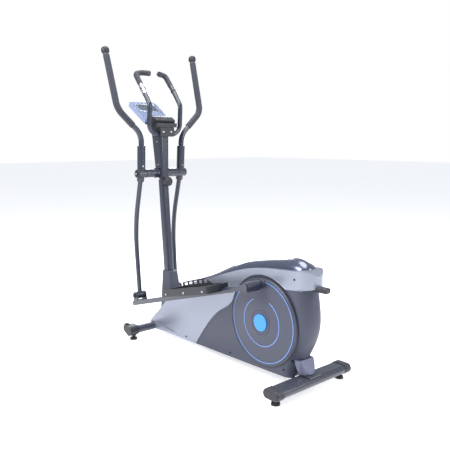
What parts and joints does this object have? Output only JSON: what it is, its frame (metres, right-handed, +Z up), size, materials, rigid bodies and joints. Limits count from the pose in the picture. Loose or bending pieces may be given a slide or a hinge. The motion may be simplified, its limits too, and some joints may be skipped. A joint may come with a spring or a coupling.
{
  "type": "elliptical trainer",
  "caption": "Front-handled, rear-drive elliptical trainer: pedal arms hung from swinging handles and driven by a rear crank, with console, fixed grips and moulded casing.",
  "frame": {"origin": "centre of the footprint's bounding box, on the floor", "axes": "+Z up; +X to the rear, where the crank is; -X to the front, where the mast and console are; +Y to the right of the user, who faces -X"},
  "size_m": [1.5177, 0.6692, 1.7441],
  "materials": {
    "frame_paint": "satin, dark navy paint",
    "stabilizer_paint": "satin, dark grey-blue paint",
    "silver_shell": "satin metallic silver",
    "dark_shell": "fine-grained dark grey",
    "gloss_cover": "glossy metallic dark blue-grey",
    "black_plastic": "moulded black",
    "disc_plastic": "moulded dark grey",
    "grip_foam": "closed-cell foam",
    "rubber": "moulded rubber",
    "steel": "machined",
    "chrome": "polished",
    "black_oxide": "black oxide",
    "foot_cover": "satin dark grey",
    "cast_iron": "machined cast iron",
    "aluminium": "die cast",
    "blue_trim": "bright blue",
    "ring_trim": "light blue",
    "console_silver": "satin silver-blue",
    "display": "tinted lens",
    "button": "soft touch"
  },
  "bodies": {
    "frame": {"main_frame": "frame_paint", "lower_mast": "frame_paint", "upper_mast": "frame_paint", "fixed_handlebar": "frame_paint", "rear_stabilizer": "frame_paint", "front_stabilizer": "stabilizer_paint", "left_silver_shell": "silver_shell", "right_silver_shell": "silver_shell", "rear_foot_cover": "foot_cover", "left_dark_shell": "dark_shell", "right_dark_shell": "dark_shell", "mast_base_cover": "dark_shell", "top_cover": "gloss_cover", "front_end_caps": "black_plastic", "rear_end_caps": "black_plastic", "pivot_end_caps": "black_plastic", "handlebar_clamp": "black_plastic", "console_bracket": "black_plastic", "accessory_ledge": "black_plastic", "rear_handle": "black_plastic", "brake_motor": "black_plastic", "fixed_grips": "grip_foam", "levelling_feet": "rubber", "drive_belt": "rubber", "pivot_axle": "steel", "crank_bearings": "steel", "flywheel_axle": "steel", "pulse_plates": "chrome", "casing_screws": "black_oxide", "console_housing": "console_silver", "console_display": "display"},
    "crank": {"crank_axle": "steel", "drive_pulley": "aluminium", "crank_arms": "steel", "left_crank_disc": "disc_plastic", "right_crank_disc": "disc_plastic", "hub_caps": "blue_trim", "disc_rings": "ring_trim"},
    "flywheel": {"flywheel": "cast_iron"},
    "brake": {"brake_bracket": "steel"},
    "left_transport_wheel": {"left_transport_wheel": "rubber"},
    "right_transport_wheel": {"right_transport_wheel": "rubber"},
    "lock_knob": {"lock_knob": "black_plastic"},
    "down_button": {"down_button": "button"},
    "enter_button": {"enter_button": "button"},
    "up_button": {"up_button": "button"},
    "left_swing": {"left_swing_arm": "frame_paint", "left_handle_tube": "frame_paint", "left_handle_grip": "grip_foam", "left_grip_cap": "black_plastic"},
    "right_swing": {"right_swing_arm": "frame_paint", "right_handle_tube": "frame_paint", "right_handle_grip": "grip_foam", "right_grip_cap": "black_plastic"},
    "left_pedal": {"left_pedal_arm": "frame_paint", "left_footplate": "black_plastic", "left_clevis_pin": "black_oxide"},
    "right_pedal": {"right_pedal_arm": "frame_paint", "right_footplate": "black_plastic", "right_clevis_pin": "black_oxide"}
  },
  "joints": [
    {"name": "crank_spin", "type": "hinge", "parent": "frame", "child": "crank", "pos_m": [0.4179, 0, 0.305], "axis": [0, 1, 0], "continuous": true},
    {"name": "flywheel_spin", "type": "hinge", "parent": "frame", "child": "flywheel", "pos_m": [0.0529, 0, 0.25], "axis": [0, 1, 0], "continuous": true},
    {"name": "brake_swing", "type": "hinge", "parent": "frame", "child": "brake", "pos_m": [-0.06583, -0.006, 0.17581], "axis": [0, -1, 0], "range_deg": [0, 8]},
    {"name": "left_swing_pivot", "type": "hinge", "parent": "frame", "child": "left_swing", "pos_m": [-0.5491, -0.146, 1.009], "axis": [0, 1, 0], "range_deg": [-12.7, 14.2]},
    {"name": "right_swing_pivot", "type": "hinge", "parent": "frame", "child": "right_swing", "pos_m": [-0.5491, 0.146, 1.009], "axis": [0, 1, 0], "range_deg": [-14.2, 12.7]},
    {"name": "left_pedal_pivot", "type": "hinge", "parent": "left_swing", "child": "left_pedal", "pos_m": [-0.59411, -0.146, 0.25604], "axis": [0, 1, 0], "range_deg": [-14.2, 12.7]},
    {"name": "right_pedal_pivot", "type": "hinge", "parent": "right_swing", "child": "right_pedal", "pos_m": [-0.61262, 0.146, 0.25738], "axis": [0, 1, 0], "range_deg": [-12.7, 14.2]},
    {"name": "left_wheel_spin", "type": "hinge", "parent": "frame", "child": "left_transport_wheel", "pos_m": [-0.5851, -0.247, 0.066], "axis": [0, 1, 0], "continuous": true},
    {"name": "right_wheel_spin", "type": "hinge", "parent": "frame", "child": "right_transport_wheel", "pos_m": [-0.5851, 0.247, 0.066], "axis": [0, 1, 0], "continuous": true},
    {"name": "lock_knob_turn", "type": "hinge", "parent": "frame", "child": "lock_knob", "pos_m": [-0.47909, 0, 0.95892], "axis": [0.9968, 0, 0.0802], "range_deg": [0, 720]},
    {"name": "down_button_press", "type": "slide", "parent": "frame", "child": "down_button", "axis": [-0.5592, 0, -0.829], "range_m": [0, 0.001], "stiffness_N_per_m": 1000},
    {"name": "enter_button_press", "type": "slide", "parent": "frame", "child": "enter_button", "axis": [-0.5592, 0, -0.829], "range_m": [0, 0.001], "stiffness_N_per_m": 1000},
    {"name": "up_button_press", "type": "slide", "parent": "frame", "child": "up_button", "axis": [-0.5592, 0, -0.829], "range_m": [0, 0.001], "stiffness_N_per_m": 1000}
  ],
  "couplings": [
    {"joint": "flywheel_spin", "follows": "crank_spin", "ratio": 7.5},
    {"joint": "right_swing_pivot", "follows": "left_swing_pivot", "ratio": -1},
    {"joint": "left_pedal_pivot", "follows": "left_swing_pivot", "ratio": -1},
    {"joint": "right_pedal_pivot", "follows": "left_swing_pivot", "ratio": 1}
  ]
}
